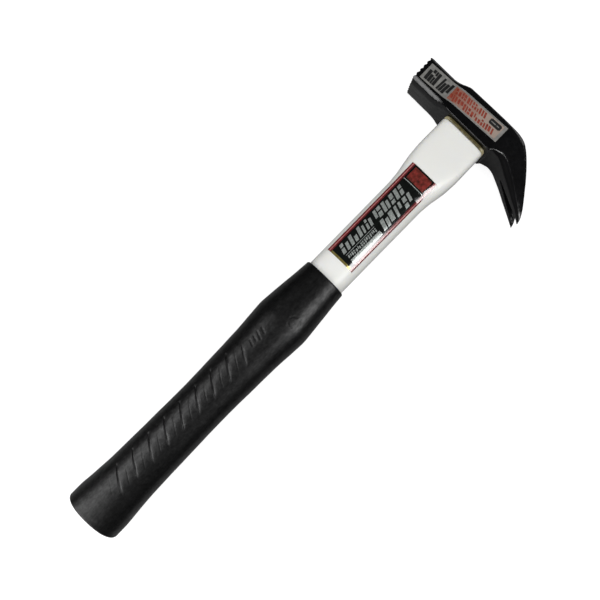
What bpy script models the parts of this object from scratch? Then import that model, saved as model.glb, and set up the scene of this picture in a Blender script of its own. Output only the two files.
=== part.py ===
"""Claw hammer with a forged head, a glass-fibre handle and a rubber grip.

The hammer lies on its side. X runs up the handle to the top of the head, Y points to the
striking face and Z points up out of the cheek. The origin is on the lower cheek, under the
middle of the eye. Lengths are in millimetres, and MM turns them into metres.
"""
import math

import bmesh
import bpy
from mathutils import Vector

MM = 0.001
GAP = 0.3                # clearance between neighbouring pieces
LABEL_GAP = 0.15         # clearance under the thin labels
LABEL_THICKNESS = 0.2

# Whole hammer
BUTT_TO_EYE = 319.0      # butt end to the middle of the eye
CHEEK = 13.2             # half the width of the head across the eye

# Head, measured from the middle of the eye
EYE_TOP = 10.4
EYE_BOTTOM = -9.5
EYE_HOLE_LOW = (12.5, 8.8)     # half sizes of the eye hole at the handle side
EYE_HOLE_HIGH = (13.3, 9.4)    # and at the top, where it is wider to lock the resin
EYE_POWER = 2.2
FACE_Y = 44.3
POLL_TOP = 8.6
POLL_BOTTOM = -10.1
POLL_HALF = 11.4
POLL_CHAMFER = 3.0
TOOTH_PITCH = 2.9
TOOTH_DEPTH = 1.1
SLOT_ROOT = Vector((-7.0, -37.0))      # where the nail slot starts, middle of the claw
CLAW_TIP = Vector((-25.4, -57.8))
SLOT_TIP_HALF = 4.5
SLOT_ROOT_HALF = 0.5
SLOT_REACH = 14.0        # how far the slot's cutter stands out of the claw on either side
TOOTH_REACH = 16.0       # half the length of the bars that cut the teeth

# Core, cover and grip, measured from the butt end
CORE = (9.6, 6.2)
CORE_POWER = 3.2
CORE_START = 8.0
CORE_END = BUTT_TO_EYE + 9.6
COVER_NECK = (12.75, 9.3)
NECK_POWER = 2.5
COVER_END = 307.3
FLARE_START = 261.0
FLARE_STEP = 4.2
COLLAR_POWER = 6.5
GRIP_POWER = 2.3
GRIP_END = 194.5
BUTT_ROUND = 1.0         # rounding of the edge round the flat butt end
RIM_ROUND = 0.8          # and of the grip's upper rim

# Stations along the grip: distance from the butt, half width, half thickness
GRIP_STATIONS = (
    (0.0, 18.3, 13.2),
    (7.0, 18.2, 13.2),
    (19.0, 17.3, 13.0),
    (34.0, 16.3, 12.6),
    (59.0, 15.7, 12.1),
    (94.0, 15.15, 11.7),
    (117.0, 15.6, 11.9),
    (135.0, 16.05, 12.2),
    (149.0, 16.9, 12.7),
    (158.0, 17.4, 12.9),
    (165.0, 16.9, 12.6),
    (176.0, 15.8, 12.0),
    (187.0, 14.7, 11.4),
    (194.5, 14.1, 11.0),
)
# Stations along the cover, from the neck to the flare under the head: distance from the butt,
# half width, half thickness, and how square the section is
COVER_STATIONS = (
    (FLARE_START, *COVER_NECK, NECK_POWER),
    (268.0, 13.4, 9.6, 2.7),
    (275.0, 14.6, 10.1, 3.2),
    (281.0, 15.4, 10.4, 4.0),
    (288.0, 15.75, 10.5, 5.2),
    (299.0, 15.6, 10.5, COLLAR_POWER),
    (COVER_END, 15.5, 10.5, COLLAR_POWER),
)

# Labels
HEAD_LABEL_START = 41.2      # y of its end nearest the face
HEAD_LABEL_SIZE = (56.8, 10.5)
HEAD_LABEL_SKEW = (-1.1, 1.55)     # x of its middle line at the face end and at the claw end
HANDLE_LABEL = (207.0, 276.0)      # from the butt
HANDLE_LABEL_SIDES = (-8.9, 10.3)  # y of its long edges

# Sections along the head: lower or inner point, upper or outer point, half width, and the
# width of the cut corners at the lower and at the upper end
HEAD_SECTIONS = (
    ((POLL_BOTTOM, FACE_Y), (POLL_TOP, FACE_Y), POLL_HALF, POLL_CHAMFER, POLL_CHAMFER),
    ((POLL_BOTTOM, 27.0), (POLL_TOP, 27.0), POLL_HALF, POLL_CHAMFER, POLL_CHAMFER),
    ((-9.9, 24.0), (8.7, 24.0), 11.6, 2.5, 2.8),
    ((-9.6, 21.0), (9.1, 21.0), 12.2, 1.8, 2.5),
    ((EYE_BOTTOM, 18.2), (9.7, 18.2), 12.9, 0.9, 2.2),
    ((EYE_BOTTOM, 15.6), (EYE_TOP, 15.0), CHEEK, 0.5, 2.0),
    ((EYE_BOTTOM, -15.8), (EYE_TOP, -15.8), CHEEK, 0.5, 1.2),
    ((-8.0, -17.6), (EYE_TOP, -18.0), 13.1, 0.9, 1.2),
    ((-7.6, -20.0), (EYE_TOP, -20.9), 12.8, 1.4, 1.2),
    ((-7.4, -22.2), (10.2, -23.7), 12.4, 1.8, 1.2),
    ((-7.9, -24.9), (9.3, -27.5), 11.9, 2.1, 1.2),
    ((-9.1, -27.9), (6.9, -31.6), 11.3, 2.3, 1.2),
    ((-11.0, -31.6), (3.5, -35.7), 10.7, 2.3, 1.2),
    ((-13.1, -35.8), (-0.8, -40.0), 10.1, 2.1, 1.1),
    ((-15.4, -40.1), (-5.3, -44.1), 9.6, 1.8, 1.0),
    ((-17.7, -44.3), (-10.0, -48.0), 9.0, 1.5, 0.9),
    ((-19.8, -48.4), (-14.6, -51.7), 8.4, 1.1, 0.7),
    ((-21.7, -52.0), (-18.9, -54.9), 7.7, 0.7, 0.5),
    ((-23.5, -55.1), (-22.6, -57.0), 6.7, 0.3, 0.3),
    ((-25.2, -57.5), (-25.4, -57.9), 5.6, 0.1, 0.1),
)


def clear_scene():
    """Remove everything that the new file starts with."""
    for item in list(bpy.data.objects):
        bpy.data.objects.remove(item, do_unlink=True)


def material(name, colour, roughness, metallic=0.0):
    """A Principled material with one colour."""
    made = bpy.data.materials.new(name)
    made.use_nodes = True
    shader = made.node_tree.nodes["Principled BSDF"]
    shader.inputs["Base Color"].default_value = (*colour, 1.0)
    shader.inputs["Roughness"].default_value = roughness
    shader.inputs["Metallic"].default_value = metallic
    made.diffuse_color = (*colour, 1.0)
    return made


def station_value(stations, position, column):
    """Read a column of a station table, with a smooth curve through its points."""
    last = len(stations) - 1
    if position <= stations[0][0]:
        return stations[0][column]
    if position >= stations[last][0]:
        return stations[last][column]
    index = next(i for i in range(last) if position <= stations[i + 1][0])

    def slope(i):
        low, high = max(i - 1, 0), min(i + 1, last)
        rise = stations[high][column] - stations[low][column]
        return rise / (stations[high][0] - stations[low][0])

    start, end = stations[index], stations[index + 1]
    span = end[0] - start[0]
    t = (position - start[0]) / span
    return (
        (2 * t**3 - 3 * t**2 + 1) * start[column]
        + (t**3 - 2 * t**2 + t) * span * slope(index)
        + (3 * t**2 - 2 * t**3) * end[column]
        + (t**3 - t**2) * span * slope(index + 1)
    )


def oval_point(half_y, half_z, power, angle):
    """A point of a superellipse, which is squarer than an ellipse when power is over 2."""
    c, s = math.cos(angle), math.sin(angle)
    y = half_y * math.copysign(abs(c) ** (2 / power), c)
    z = half_z * math.copysign(abs(s) ** (2 / power), s)
    return y, z


def oval_ring(x, half_y, half_z, power, count=40):
    """A closed oval ring of points across the handle at x."""
    turns = (2 * math.pi * i / count for i in range(count))
    return [(x, *oval_point(half_y, half_z, power, angle)) for angle in turns]


def add_mesh(name, points, faces, look, parent, location=(0.0, 0.0, 0.0)):
    """Make an object from points in millimetres, with its faces pointing out."""
    shape = bmesh.new()
    corners = [shape.verts.new(Vector(point) * MM) for point in points]
    for face in faces:
        shape.faces.new([corners[i] for i in face])
    bmesh.ops.recalc_face_normals(shape, faces=shape.faces)
    mesh = bpy.data.meshes.new(name)
    shape.to_mesh(mesh)
    shape.free()
    mesh.materials.append(look)
    mesh.shade_smooth()
    mesh.set_sharp_from_angle(angle=math.radians(32))
    made = bpy.data.objects.new(name, mesh)
    bpy.context.collection.objects.link(made)
    made.parent = parent
    made.location = Vector(location) * MM
    return made


def loft(name, rings, look, parent, location=(0.0, 0.0, 0.0), tube=False):
    """Join rings of equal length into a skin, with flat ends or, for a tube, back to the first."""
    count = len(rings[0])
    points = [point for ring in rings for point in ring]
    faces = []
    for r in range(len(rings) if tube else len(rings) - 1):
        here, there = r * count, (r + 1) % len(rings) * count
        for i in range(count):
            j = (i + 1) % count
            faces.append((here + i, here + j, there + j, there + i))
    if not tube:
        faces.append(tuple(range(count)))
        faces.append(tuple(range(len(points) - count, len(points))))
    return add_mesh(name, points, faces, look, parent, location)


def cut(body, cutter):
    """Subtract a hidden cutter from a body."""
    cutter.hide_render = True
    cutter.display_type = "WIRE"
    modifier = body.modifiers.new(cutter.name, "BOOLEAN")
    modifier.operation = "DIFFERENCE"
    modifier.solver = "EXACT"
    modifier.object = cutter


def section_ring(lower, upper, half, low_edge, high_edge):
    """A rectangle with cut corners that stands on the line from lower to upper."""
    start = Vector(lower)
    reach = Vector(upper) - start
    length = reach.length
    along = reach / length
    corners = (
        (low_edge, -half), (length - high_edge, -half),
        (length, high_edge - half), (length, half - high_edge),
        (length - high_edge, half), (low_edge, half),
        (0.0, half - low_edge), (0.0, low_edge - half),
    )
    return [(*(start + along * s), z) for s, z in corners]


def prism(name, outline, low, high, look, parent):
    """Extrude a closed outline of points from its low copy to its high copy."""
    return loft(name, [[low(p) for p in outline], [high(p) for p in outline]], look, parent)


def tooth_cutter(name, centres, across, look, parent):
    """A row of V-shaped bars that cut one set of grooves in the striking face."""
    slope_out = TOOTH_DEPTH + 0.5
    points, faces = [], []
    for centre in centres:
        profile = (
            (centre, FACE_Y - TOOTH_DEPTH),
            (centre + slope_out, FACE_Y - TOOTH_DEPTH + slope_out),
            (centre - slope_out, FACE_Y - TOOTH_DEPTH + slope_out),
        )
        first = len(points)
        for end in (-TOOTH_REACH, TOOTH_REACH):
            points += [across(side, y, end) for side, y in profile]
        faces += [(first, first + 1, first + 2), (first + 3, first + 4, first + 5)]
        for i in range(3):
            j = (i + 1) % 3
            faces.append((first + i, first + j, first + 3 + j, first + 3 + i))
    return add_mesh(name, points, faces, look, parent)


def build_head(parent):
    """The forged head: milled poll, eye block and split claw in one piece of steel."""
    steel = material("black_painted_steel", (0.018, 0.018, 0.020), 0.38)
    rings = [section_ring(*section) for section in HEAD_SECTIONS]
    head = loft("hammer_head", rings, steel, parent)

    over = 2.0
    spread = (EYE_TOP - EYE_BOTTOM + 2 * over) / (EYE_TOP - EYE_BOTTOM)
    grow = [(high - low) * (spread - 1) / 2 for low, high in zip(EYE_HOLE_LOW, EYE_HOLE_HIGH)]
    low = [size - more for size, more in zip(EYE_HOLE_LOW, grow)]
    high = [size + more for size, more in zip(EYE_HOLE_HIGH, grow)]
    eye_rings = [
        oval_ring(EYE_BOTTOM - over, *low, EYE_POWER), oval_ring(EYE_TOP + over, *high, EYE_POWER),
    ]
    cut(head, loft("cut_eye", eye_rings, steel, parent))

    down = (CLAW_TIP - SLOT_ROOT).normalized()
    out = Vector((-down.y, down.x))
    reach = (CLAW_TIP - SLOT_ROOT).length
    beyond = 6.0
    end_half = SLOT_ROOT_HALF + (SLOT_TIP_HALF - SLOT_ROOT_HALF) * (reach + beyond) / reach
    wedge = (
        (0.0, -SLOT_ROOT_HALF), (reach + beyond, -end_half),
        (reach + beyond, end_half), (0.0, SLOT_ROOT_HALF),
    )

    def placed(side):
        return lambda point: (*(SLOT_ROOT + down * point[0] + out * side), point[1])

    cut(head, prism("cut_slot", wedge, placed(-SLOT_REACH), placed(SLOT_REACH), steel, parent))

    middle = (POLL_TOP + POLL_BOTTOM) / 2
    rows = [middle + TOOTH_PITCH * i for i in range(-2, 3)]
    columns = [TOOTH_PITCH * i for i in range(-3, 4)]
    cut(head, tooth_cutter("cut_rows", rows, lambda s, y, e: (s, y, e), steel, parent))
    cut(head, tooth_cutter("cut_columns", columns, lambda s, y, e: (e, y, s), steel, parent))
    return head


def build_core(parent, butt):
    """The glass-fibre bar that runs from the butt into the eye."""
    fibre = material("glass_fibre", (0.62, 0.52, 0.28), 0.45)
    rings = [oval_ring(d, *CORE, CORE_POWER, 32) for d in (CORE_START, CORE_END)]
    return loft("glass_fibre_core", rings, fibre, parent, butt)


def cover_size(d):
    """Half width, half thickness and squareness of the cover at distance d."""
    return [station_value(COVER_STATIONS, d, column) for column in (1, 2, 3)]


def build_cover(parent, butt):
    """The white plastic sleeve over the core, flared and squared under the head."""
    plastic = material("white_plastic", (0.80, 0.80, 0.76), 0.30)
    stops = [CORE_START, GRIP_END] + [FLARE_START + FLARE_STEP * i for i in range(11)]
    outer = [oval_ring(d, *cover_size(d)) for d in stops + [COVER_END]]
    bore = [size + GAP for size in CORE]
    inner = [oval_ring(d, *bore, CORE_POWER) for d in (COVER_END, CORE_START)]
    return loft("plastic_cover", outer + inner, plastic, parent, butt, tube=True)


def edge_inset(d, reach):
    """How far a rounded edge that starts at d = 0 is set in from the full size."""
    rest = max(1 - d / reach, 0.0)
    return reach * (1 - math.sqrt(1 - rest * rest))


def grip_half(d):
    """Half width and half thickness of the grip at distance d, with rounded end edges."""
    inset = edge_inset(d, BUTT_ROUND) + edge_inset(GRIP_END - d, RIM_ROUND)
    return [station_value(GRIP_STATIONS, d, column) - inset for column in (1, 2)]


def build_grip(parent, butt):
    """The black rubber sleeve, closed at the butt."""
    rubber = material("black_rubber", (0.016, 0.016, 0.017), 0.55)
    butt_stops = [BUTT_ROUND * share for share in (0.0, 0.13, 0.5, 1.0)]
    long_stops = [4.0, 8.0, 12.0, 20.0, 30.0, 42.0, 58.0, 76.0, 93.0, 106.0, 118.0,
                  128.0, 137.0, 144.0, 150.0, 154.0, 157.0, 160.0, 164.0, 170.0, 178.0, 186.0]
    rim_stops = [GRIP_END - RIM_ROUND, GRIP_END - 0.3 * RIM_ROUND, GRIP_END]
    outer = [oval_ring(d, *grip_half(d), GRIP_POWER)
             for d in butt_stops + long_stops + rim_stops]
    bore = [size + GAP for size in COVER_NECK]
    inner = [oval_ring(d, *bore, NECK_POWER) for d in (GRIP_END, CORE_START - GAP)]
    return loft("rubber_grip", outer + inner, rubber, parent, butt)


def build_resin(parent):
    """The cast resin that fills the eye round the core, and the collar of it under the head."""
    amber = material("amber_resin", (0.42, 0.30, 0.08), 0.35)
    hole_low = [size - GAP for size in EYE_HOLE_LOW]
    hole_high = [size - GAP for size in EYE_HOLE_HIGH]
    bore = [size + GAP for size in CORE]
    low, high = EYE_BOTTOM + 0.2, EYE_TOP - 0.8
    plug = [
        oval_ring(low, *hole_low, EYE_POWER), oval_ring(high, *hole_high, EYE_POWER),
        oval_ring(high, *bore, CORE_POWER), oval_ring(low, *bore, CORE_POWER),
    ]
    loft("eye_resin", plug, amber, parent, tube=True)

    start = COVER_END - BUTT_TO_EYE + GAP
    end = EYE_BOTTOM - GAP
    middle = (start + end) / 2
    collar = [
        oval_ring(start, 15.2, 10.3, COLLAR_POWER), oval_ring(middle, 15.6, 10.7, COLLAR_POWER),
        oval_ring(end, 15.3, 10.4, COLLAR_POWER),
        oval_ring(end, *bore, CORE_POWER), oval_ring(start, *bore, CORE_POWER),
    ]
    loft("resin_collar", collar, amber, parent, tube=True)


def cheek_height(y):
    """Height of the upper cheek above the middle of the head, between the head's sections."""
    flat = [(section[0][1], section[2]) for section in HEAD_SECTIONS[:7]]
    for (y0, h0), (y1, h1) in zip(flat, flat[1:]):
        if y1 <= y <= y0:
            return h1 + (h0 - h1) * (y - y1) / (y0 - y1)
    return CHEEK


def build_head_label(parent):
    """The thin foil plate stuck along the upper cheek, set a little askew."""
    foil = material("silver_foil", (0.50, 0.49, 0.47), 0.35, 0.8)
    (length, height), (low_x, high_x) = HEAD_LABEL_SIZE, HEAD_LABEL_SKEW
    first = HEAD_LABEL_START
    bends = [section[0][1] for section in HEAD_SECTIONS[1:6]]
    stops = [first] + bends + [first - length]
    bottom, top = [], []
    for y in stops:
        middle = low_x + (high_x - low_x) * (first - y) / length
        z = cheek_height(y) + LABEL_GAP
        for line, lift in ((bottom, 0.0), (top, LABEL_THICKNESS)):
            line.append([(middle - height / 2, y, z + lift), (middle + height / 2, y, z + lift)])
    rings = [[b[0], b[1], t[1], t[0]] for b, t in zip(bottom, top)]
    return loft("head_label", rings, foil, parent)


def over_cover(d, share, lift):
    """A point over the cover, at a share of its half width, lifted off its surface."""
    half_y, half_z, power = cover_size(d)
    z = (1 - abs(share) ** power) ** (1 / power)
    return (d, (half_y + lift) * share, (half_z + lift) * z)


def build_handle_label(parent, butt):
    """The printed foil that wraps the upper side of the cover."""
    foil = material("printed_foil", (0.05, 0.05, 0.05), 0.25, 0.3)
    start, end = HANDLE_LABEL
    low, high = HANDLE_LABEL_SIDES
    flare = [FLARE_START + FLARE_STEP * i for i in range(4)]
    rings = []
    for d in [start, (start + FLARE_START) / 2] + flare + [end]:
        shares = [(low + (high - low) * i / 12) / cover_size(d)[0] for i in range(13)]
        inside = [over_cover(d, share, LABEL_GAP) for share in shares]
        far = LABEL_GAP + LABEL_THICKNESS
        outside = [over_cover(d, share, far) for share in reversed(shares)]
        rings.append(inside + outside)
    return loft("handle_label", rings, foil, parent, butt)


def main():
    clear_scene()
    hammer = bpy.data.objects.new("hammer", None)
    bpy.context.collection.objects.link(hammer)
    hammer.location = (0.0, 0.0, CHEEK * MM)
    butt = (-BUTT_TO_EYE, 0.0, 0.0)
    build_head(hammer)
    build_core(hammer, butt)
    build_cover(hammer, butt)
    build_grip(hammer, butt)
    build_resin(hammer)
    build_head_label(hammer)
    build_handle_label(hammer, butt)


main()
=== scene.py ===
"""Looks of the claw hammer: fine meshes, materials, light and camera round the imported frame.

Shapes are worked out in millimetres. Along the head, x and y are measured from the middle of
the eye; along the handle, d is the distance from the butt end. z is measured from the plane
that halves the hammer's thickness.
"""
import math

import bmesh
import bpy
import numpy as np
from mathutils import Matrix, Vector


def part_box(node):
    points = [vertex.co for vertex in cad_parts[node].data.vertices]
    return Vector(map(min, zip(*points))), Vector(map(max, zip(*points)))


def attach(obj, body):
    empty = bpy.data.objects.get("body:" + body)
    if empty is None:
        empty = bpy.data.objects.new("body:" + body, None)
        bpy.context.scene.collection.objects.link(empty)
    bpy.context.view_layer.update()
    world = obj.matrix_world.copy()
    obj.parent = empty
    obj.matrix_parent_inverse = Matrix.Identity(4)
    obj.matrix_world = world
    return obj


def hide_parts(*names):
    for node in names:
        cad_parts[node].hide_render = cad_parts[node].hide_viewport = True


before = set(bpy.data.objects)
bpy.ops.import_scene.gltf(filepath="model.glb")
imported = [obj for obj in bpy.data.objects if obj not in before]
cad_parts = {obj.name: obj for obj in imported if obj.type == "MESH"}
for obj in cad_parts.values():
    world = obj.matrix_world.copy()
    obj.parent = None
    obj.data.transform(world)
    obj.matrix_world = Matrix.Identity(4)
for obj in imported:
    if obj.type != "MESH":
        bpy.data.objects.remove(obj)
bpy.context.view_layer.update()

MM = 0.001
HEAD_LOW, HEAD_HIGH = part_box("hammer_head")
GRIP_LOW, GRIP_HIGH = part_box("rubber_grip")
COVER_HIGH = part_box("plastic_cover")[1]
MIDDLE_Z = (HEAD_LOW.z + HEAD_HIGH.z) / 2
CHEEK = (HEAD_HIGH.z - HEAD_LOW.z) / 2 / MM
BUTT = GRIP_LOW.x / MM                       # x of the butt end
GRIP_END = (GRIP_HIGH.x - GRIP_LOW.x) / MM
COVER_END = COVER_HIGH.x / MM - BUTT
FACE_Y = HEAD_HIGH.y / MM
EYE_TOP = HEAD_HIGH.x / MM
EYE_BOTTOM = -9.5
COVER_START = 8.0

# Head
EYE_HOLE_LOW = (12.5, 8.8)
EYE_HOLE_HIGH = (13.3, 9.4)
EYE_POWER = 2.2
EYE_CUT_PAST = 2.0                           # the eye's cutter runs past both ends
EYE_CUT_LOW, EYE_CUT_HIGH = (12.42, 8.74), (13.38, 9.46)     # with the same taper
POLL_TOP, POLL_BOTTOM, POLL_HALF, POLL_CHAMFER = 8.6, -10.1, 11.4, 3.0
TOOTH_PITCH, TOOTH_DEPTH = 2.9, 1.1
SLOT_ROOT, CLAW_TIP = Vector((-7.0, -37.0)), Vector((-25.4, -57.8))
SLOT_ROOT_HALF, SLOT_TIP_HALF = 0.5, 4.5
SLOT_REACH, SLOT_PAST = 14.0, 6.0            # cutter to each side of the claw, and past its tips
CLAW_DOWN = np.array([-0.665, -0.747])       # direction from the slot's root to the tips
TOOTH_WEAR, TIP_WEAR = 0.32, 0.55
HEAD_SECTIONS = (
    ((POLL_BOTTOM, FACE_Y), (POLL_TOP, FACE_Y), POLL_HALF, POLL_CHAMFER, POLL_CHAMFER),
    ((POLL_BOTTOM, 27.0), (POLL_TOP, 27.0), POLL_HALF, POLL_CHAMFER, POLL_CHAMFER),
    ((-9.9, 24.0), (8.7, 24.0), 11.6, 2.5, 2.8),
    ((-9.6, 21.0), (9.1, 21.0), 12.2, 1.8, 2.5),
    ((EYE_BOTTOM, 18.2), (9.7, 18.2), 12.9, 0.9, 2.2),
    ((EYE_BOTTOM, 15.6), (EYE_TOP, 15.0), CHEEK, 0.5, 2.0),
    ((EYE_BOTTOM, -15.8), (EYE_TOP, -15.8), CHEEK, 0.5, 1.2),
    ((-8.0, -17.6), (EYE_TOP, -18.0), 13.1, 0.9, 1.2),
    ((-7.6, -20.0), (EYE_TOP, -20.9), 12.8, 1.4, 1.2),
    ((-7.4, -22.2), (10.2, -23.7), 12.4, 1.8, 1.2),
    ((-7.9, -24.9), (9.3, -27.5), 11.9, 2.1, 1.2),
    ((-9.1, -27.9), (6.9, -31.6), 11.3, 2.3, 1.2),
    ((-11.0, -31.6), (3.5, -35.7), 10.7, 2.3, 1.2),
    ((-13.1, -35.8), (-0.8, -40.0), 10.1, 2.1, 1.1),
    ((-15.4, -40.1), (-5.3, -44.1), 9.6, 1.8, 1.0),
    ((-17.7, -44.3), (-10.0, -48.0), 9.0, 1.5, 0.9),
    ((-19.8, -48.4), (-14.6, -51.7), 8.4, 1.1, 0.7),
    ((-21.7, -52.0), (-18.9, -54.9), 7.7, 0.7, 0.5),
    ((-23.5, -55.1), (-22.6, -57.0), 6.7, 0.3, 0.3),
    ((-25.2, -57.5), (-25.4, -57.9), 5.6, 0.1, 0.1),
)
CHEEK_LAST_ROW = 8                           # below this section the claw bends away
HEAD_VOXEL = 0.24

# Handle
CORE, CORE_POWER, NECK_POWER, GRIP_POWER = (9.6, 6.2), 3.2, 2.5, 2.3
CORE_TOP = 9.6                               # x of the core's cut end in the eye
GRIP_BORE = (13.05, 9.6)
GRIP_TYPICAL = (16.0, 12.2)                  # section on which lengths round the grip are measured
BUTT_ROUND, RIM_ROUND, COVER_ROUND = 1.0, 0.8, 0.6
GRIP_STATIONS = (
    (0.0, 18.3, 13.2), (7.0, 18.2, 13.2), (19.0, 17.3, 13.0), (34.0, 16.3, 12.6),
    (59.0, 15.7, 12.1), (94.0, 15.15, 11.7), (117.0, 15.6, 11.9), (135.0, 16.05, 12.2),
    (149.0, 16.9, 12.7), (158.0, 17.4, 12.9), (165.0, 16.9, 12.6), (176.0, 15.8, 12.0),
    (187.0, 14.7, 11.4), (194.5, 14.1, 11.0),
)
COLLAR, COLLAR_POWER = (15.05, 10.1), 6.5
COVER_STATIONS = (
    (261.0, 12.75, 9.3, NECK_POWER), (268.0, 13.4, 9.6, 2.7), (275.0, 14.6, 10.1, 3.2),
    (281.0, 15.4, 10.4, 4.0), (288.0, 15.75, 10.5, 5.2), (299.0, 15.6, 10.5, COLLAR_POWER),
    (307.3, 15.5, 10.5, COLLAR_POWER),
)

# Relief of the grip: slanted grooves, then a broken ring and four bars
GROOVE_PITCH, GROOVE_FIRST, GROOVE_LEAN = 12.6, 28.0, 0.632
GROOVE_DEPTH = 0.6
GROOVE_ZONE = (19.0, 135.0)
GROOVE_SIDES = ((-5.5, 1.0), (9.6, 11.6))    # where they fade in and out round the grip
EMBLEM_DEPTH = 0.10
EMBLEM_RING, EMBLEM_RADIUS = (163.0, -5.6), 3.4
EMBLEM_START, EMBLEM_LEAN = 138.0, 0.35
EMBLEM_BARS = ((0, 3.6, 2.2), (3.4, 4.3, 1.7), (6.1, 3.7, 2.4), (9.8, 4.1, 1.9))

# Labels
HEAD_LABEL = {"first": 41.2, "length": 56.7, "half": 5.25, "low_x": -1.1, "high_x": 1.55}
HANDLE_LABEL = {"start": 206.7, "end": 276.1, "top": 10.2, "bottom": -8.8}
LABEL_LIFT, LABEL_THICK = 0.06, 0.10
PRINT_STEP, PRINT_THICK = 0.025, 0.03


def mm(x, y, z):
    """A point in the row frame from hammer coordinates in millimetres."""
    return Vector((x * MM, y * MM, MIDDLE_Z + z * MM))


def smooth_column(table, column, at):
    """Read one column of a station table at many positions, without overshoot."""
    x = np.array([row[0] for row in table])
    y = np.array([row[column] for row in table])
    gap = np.diff(x)
    rise = np.diff(y) / gap
    slope = np.zeros_like(y)
    same = rise[1:] * rise[:-1] > 0
    left, right = rise[:-1][same], rise[1:][same]
    slope[1:-1][same] = 2 * left * right / (left + right)
    slope[0], slope[-1] = rise[0], rise[-1]
    at = np.clip(np.asarray(at, float), x[0], x[-1])
    i = np.clip(np.searchsorted(x, at) - 1, 0, len(gap) - 1)
    t = (at - x[i]) / gap[i]
    return (
        (2 * t**3 - 3 * t**2 + 1) * y[i] + (t**3 - 2 * t**2 + t) * gap[i] * slope[i]
        + (3 * t**2 - 2 * t**3) * y[i + 1] + (t**3 - t**2) * gap[i] * slope[i + 1]
    )


def soft_step(low, high, value):
    """0 below low, 1 above high and a smooth rise between."""
    t = np.clip((value - low) / (high - low), 0.0, 1.0)
    return t * t * (3 - 2 * t)


def waves(points, seed, size, octaves=3):
    """Smooth made-up unevenness, about -1 to 1, from sums of slanted sine waves."""
    random = np.random.default_rng(seed)
    total, weight, scale = np.zeros(len(points)), 1.0, 1.0 / size
    for _ in range(octaves):
        for _ in range(4):
            way = random.normal(size=3)
            way *= 2 * math.pi * scale / np.linalg.norm(way)
            total += weight * np.sin(points @ way + random.uniform(0, 2 * math.pi))
        weight, scale = weight * 0.55, scale * 2.1
    return total / 5.0


def finish_piece(piece, body, slot, look, *nodes, sharp=None):
    """Give a piece its material and body, and hide the CAD nodes it stands for; the slot it is
    given is not used.
    """
    piece.data.materials.clear()
    piece.data.materials.append(look)
    piece.data.shade_smooth()
    if sharp is not None:
        piece.data.set_sharp_from_angle(angle=math.radians(sharp))
    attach(piece, body)
    if nodes:
        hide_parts(*nodes)


def make_object(name, points, faces):
    """An object from hammer coordinates, with its faces pointing out."""
    mesh = bpy.data.meshes.new(name)
    mesh.from_pydata([mm(*p) for p in points], [], faces)
    shape = bmesh.new()
    shape.from_mesh(mesh)
    bmesh.ops.recalc_face_normals(shape, faces=shape.faces)
    shape.to_mesh(mesh)
    shape.free()
    piece = bpy.data.objects.new(name, mesh)
    bpy.context.collection.objects.link(piece)
    return piece


def skin(name, rings, tube=False):
    """Join rings of equal length, with flat ends or, for a tube, back to the first ring."""
    rings = np.asarray(rings, float)
    count, size = rings.shape[:2]
    faces = []
    for r in range(count if tube else count - 1):
        here, there = r * size, (r + 1) % count * size
        faces += [
            (here + i, here + (i + 1) % size, there + (i + 1) % size, there + i)
            for i in range(size)
        ]
    if not tube:
        faces.append(tuple(range(size)))
        faces.append(tuple(range((count - 1) * size, count * size)))
    return make_object(name, rings.reshape(-1, 3), faces)


def even_turns(half_y, half_z, power, count):
    """Angles that space the points of an oval evenly along its edge."""
    turn = np.linspace(0, 2 * math.pi, 4001)
    y, z = oval(half_y, half_z, power, turn)
    run = np.concatenate([[0], np.cumsum(np.hypot(np.diff(y), np.diff(z)))])
    return np.interp(np.arange(count) / count * run[-1], run, turn)


def oval(half_y, half_z, power, turn):
    """Points of a superellipse, which is squarer than an ellipse when power is over 2."""
    c, s = np.cos(turn), np.sin(turn)
    y = half_y * np.sign(c) * np.abs(c) ** (2 / power)
    z = half_z * np.sign(s) * np.abs(s) ** (2 / power)
    return y, z


def oval_ring(x, half_y, half_z, power, turns):
    """A closed oval ring of points across the handle at x."""
    y, z = oval(half_y, half_z, power, turns)
    return np.stack([np.full_like(y, x), y, z], axis=1)


# ---------------------------------------------------------------- materials

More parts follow.
